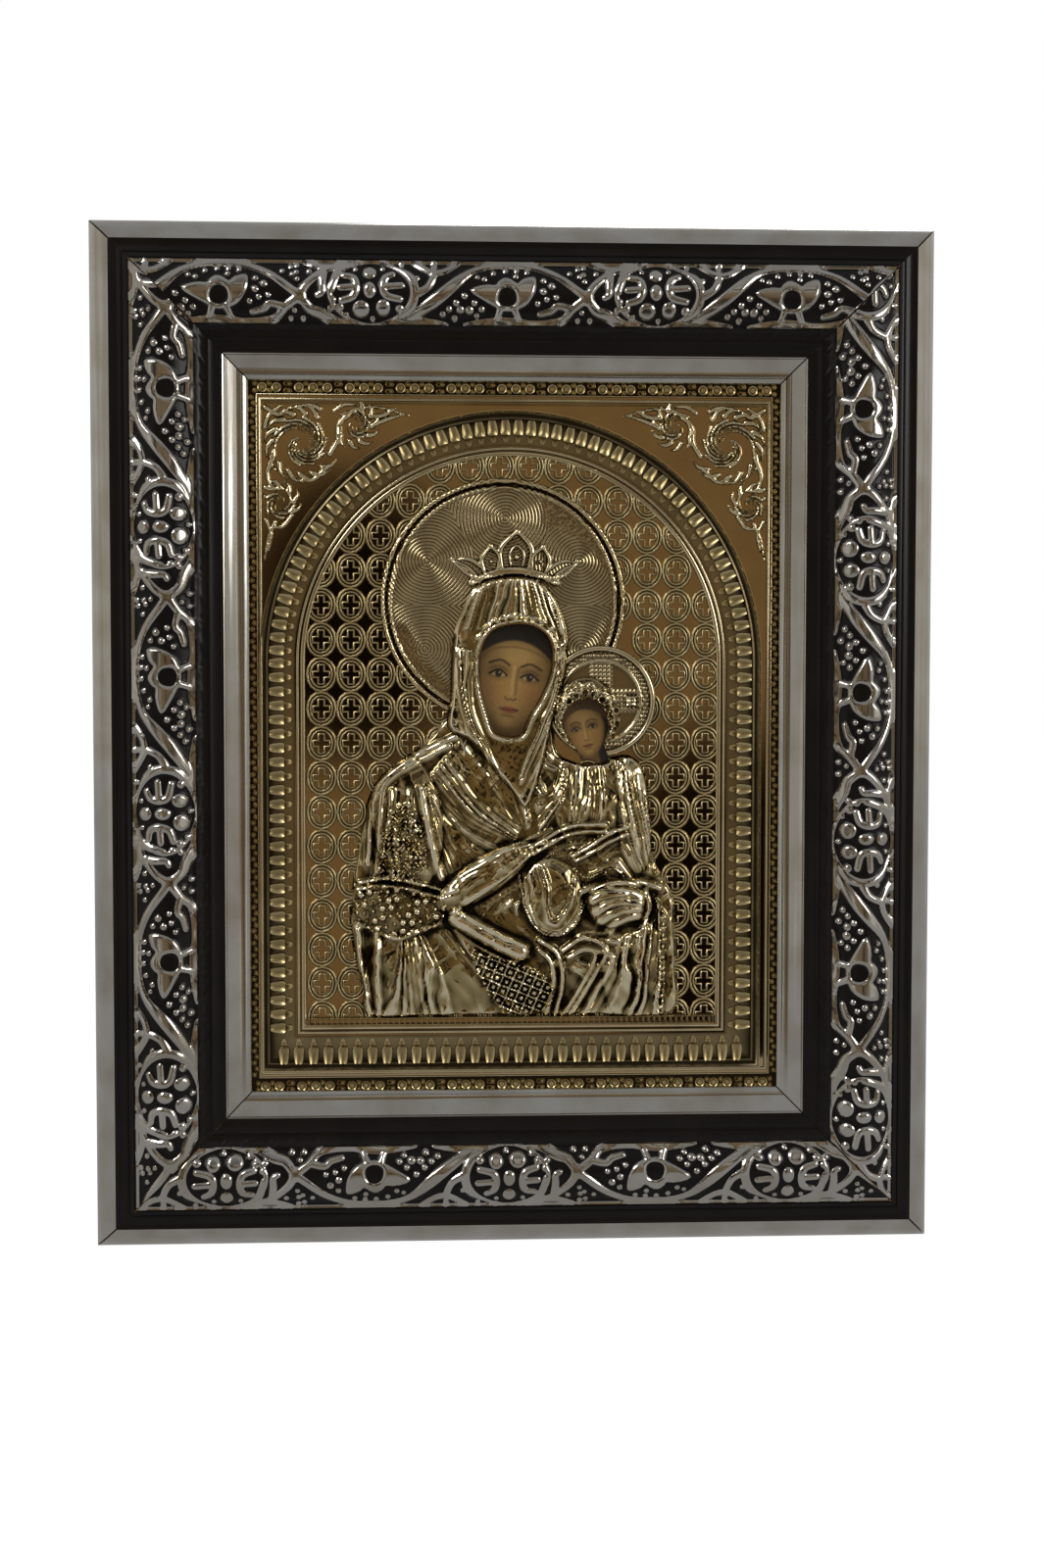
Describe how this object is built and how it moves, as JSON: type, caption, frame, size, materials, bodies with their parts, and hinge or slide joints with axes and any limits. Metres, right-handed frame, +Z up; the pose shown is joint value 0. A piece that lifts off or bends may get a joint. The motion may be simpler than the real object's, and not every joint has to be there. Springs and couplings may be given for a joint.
{
  "type": "framed icon",
  "caption": "Framed devotional icon: silver and black ornamented moulding round a stamped brass icon cover over a printed image, with turn-buttons and a hanging ring at the back",
  "frame": {"origin": "Middle of the back of the frame, in the plane of the wall.", "axes": "+X to the right for a viewer in front, +Y into the wall (the front faces -Y), +Z up"},
  "size_m": [0.24, 0.0225, 0.291],
  "materials": {
    "moulding": "silver foil and black lacquer",
    "stamped_brass": "stamped and lacquered",
    "print_card": "printed",
    "board_wood": "plain board",
    "pad_card": "plain card",
    "hardboard": "smooth hardboard",
    "bright_steel": "zinc plated"
  },
  "bodies": {
    "frame": {"rail_top": "moulding", "rail_bottom": "moulding", "rail_left": "moulding", "rail_right": "moulding", "corner_v_nails": "bright_steel", "icon_cover": "stamped_brass", "face_print": "print_card", "icon_board": "board_wood", "cover_tacks": "bright_steel", "pressure_pad": "pad_card", "backing_board": "hardboard", "turn_button_screws": "bright_steel", "hanger_strap": "bright_steel", "hanger_rivets": "bright_steel"},
    "ring": {"hanging_ring": "bright_steel"},
    "button_top": {"turn_button_top": "bright_steel"},
    "button_bottom": {"turn_button_bottom": "bright_steel"},
    "button_right_upper": {"turn_button_right_upper": "bright_steel"},
    "button_right_lower": {"turn_button_right_lower": "bright_steel"},
    "button_left_upper": {"turn_button_left_upper": "bright_steel"},
    "button_left_lower": {"turn_button_left_lower": "bright_steel"}
  },
  "joints": [
    {"name": "ring_hinge", "type": "hinge", "parent": "frame", "child": "ring", "pos_m": [0, -0.0017, 0.072], "axis": [1, 0, 0], "range_deg": [0, 180]},
    {"name": "button_top_pivot", "type": "hinge", "parent": "frame", "child": "button_top", "pos_m": [0, -0.0024, 0.111], "axis": [0, 1, 0], "range_deg": [-90, 90]},
    {"name": "button_bottom_pivot", "type": "hinge", "parent": "frame", "child": "button_bottom", "pos_m": [0, -0.0024, -0.111], "axis": [0, 1, 0], "range_deg": [-90, 90]},
    {"name": "button_right_upper_pivot", "type": "hinge", "parent": "frame", "child": "button_right_upper", "pos_m": [0.0855, -0.0024, 0.07566], "axis": [0, 1, 0], "range_deg": [-90, 90]},
    {"name": "button_right_lower_pivot", "type": "hinge", "parent": "frame", "child": "button_right_lower", "pos_m": [0.0855, -0.0024, -0.07566], "axis": [0, 1, 0], "range_deg": [-90, 90]},
    {"name": "button_left_upper_pivot", "type": "hinge", "parent": "frame", "child": "button_left_upper", "pos_m": [-0.0855, -0.0024, 0.07566], "axis": [0, 1, 0], "range_deg": [-90, 90]},
    {"name": "button_left_lower_pivot", "type": "hinge", "parent": "frame", "child": "button_left_lower", "pos_m": [-0.0855, -0.0024, -0.07566], "axis": [0, 1, 0], "range_deg": [-90, 90]}
  ]
}
